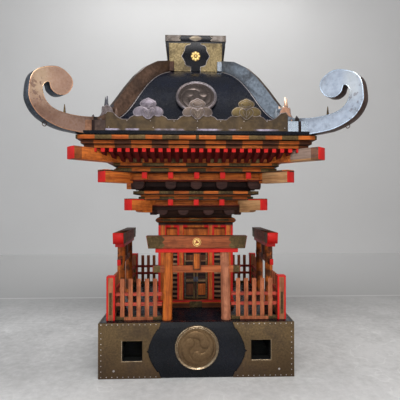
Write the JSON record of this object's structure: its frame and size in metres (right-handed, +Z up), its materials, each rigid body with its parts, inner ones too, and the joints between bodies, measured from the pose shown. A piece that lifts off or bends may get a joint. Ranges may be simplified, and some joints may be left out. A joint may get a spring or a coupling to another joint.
{
  "type": "portable shrine",
  "caption": "Portable wooden shrine: square base with pole holes, fence and gateways, hinged doors, stepped tiers and a swept roof with curled corner arms",
  "frame": {"origin": "middle of the base's underside", "axes": "+Z up, the front with the doors looks along -Y"},
  "size_m": [0.9508, 0.9508, 1.1608],
  "materials": {
    "black_lacquer": "black lacquer on wood, glossy, slightly worn",
    "brass": "dull aged brass sheet on wood",
    "copper": "aged copper-coloured plate on carved wood, semi-gloss, spotted",
    "vermilion": "vermilion paint on wood",
    "orange_wood": "orange-brown lacquered wood with visible grain",
    "dark_wood": "dark brown stained wood, shaded and grimy"
  },
  "bodies": {
    "root": {"base_corner_plate_back_left": "brass", "base_corner_plate_back_right": "brass", "base_corner_plate_front_left": "brass", "base_corner_plate_front_right": "brass", "base_crest_back": "brass", "base_crest_front": "brass", "base_crest_left": "brass", "base_crest_right": "brass", "base_deck": "black_lacquer", "base_frame": "black_lacquer", "body_frame": "vermilion", "body_wall_back": "orange_wood", "body_wall_front": "orange_wood", "body_wall_left": "orange_wood", "body_wall_right": "orange_wood", "brackets_lower": "dark_wood", "brackets_middle": "dark_wood", "cornice": "dark_wood", "eave_band_back": "brass", "eave_band_front": "brass", "eave_band_left": "brass", "eave_band_right": "brass", "eave_moulding": "orange_wood", "eave_support": "orange_wood", "fence_panel_back": "orange_wood", "fence_panel_front": "orange_wood", "fence_panel_left": "orange_wood", "fence_panel_right": "orange_wood", "fence_with_post_back": "orange_wood", "fence_with_post_front": "orange_wood", "fence_with_post_left": "orange_wood", "fence_with_post_right": "orange_wood", "gateway_back": "orange_wood", "gateway_front": "orange_wood", "gateway_left": "orange_wood", "gateway_right": "orange_wood", "hip_ridge_back_left": "copper", "hip_ridge_back_right": "copper", "hip_ridge_front_left": "copper", "hip_ridge_front_right": "copper", "rafters_back": "vermilion", "rafters_front": "vermilion", "rafters_left": "vermilion", "rafters_right": "vermilion", "roof": "black_lacquer", "roof_crest_back": "copper", "roof_crest_front": "copper", "roof_crest_left": "copper", "roof_crest_right": "copper", "scroll_arm_back_left": "copper", "scroll_arm_back_right": "copper", "scroll_arm_front_left": "copper", "scroll_arm_front_right": "copper", "tier_lower": "orange_wood", "tier_middle": "orange_wood", "top_box": "black_lacquer", "top_lid": "brass"},
    "door_left": {"door_left": "dark_wood"},
    "door_right": {"door_right": "dark_wood"}
  },
  "joints": [
    {"name": "door_left_hinge", "type": "hinge", "parent": "root", "child": "door_left", "pos_m": [-0.0435, -0.1285, 0.28855], "axis": [0, 0, -1], "range_deg": [0, 95]},
    {"name": "door_right_hinge", "type": "hinge", "parent": "root", "child": "door_right", "pos_m": [0.0435, -0.1285, 0.28855], "axis": [0, 0, 1], "range_deg": [0, 95]}
  ]
}
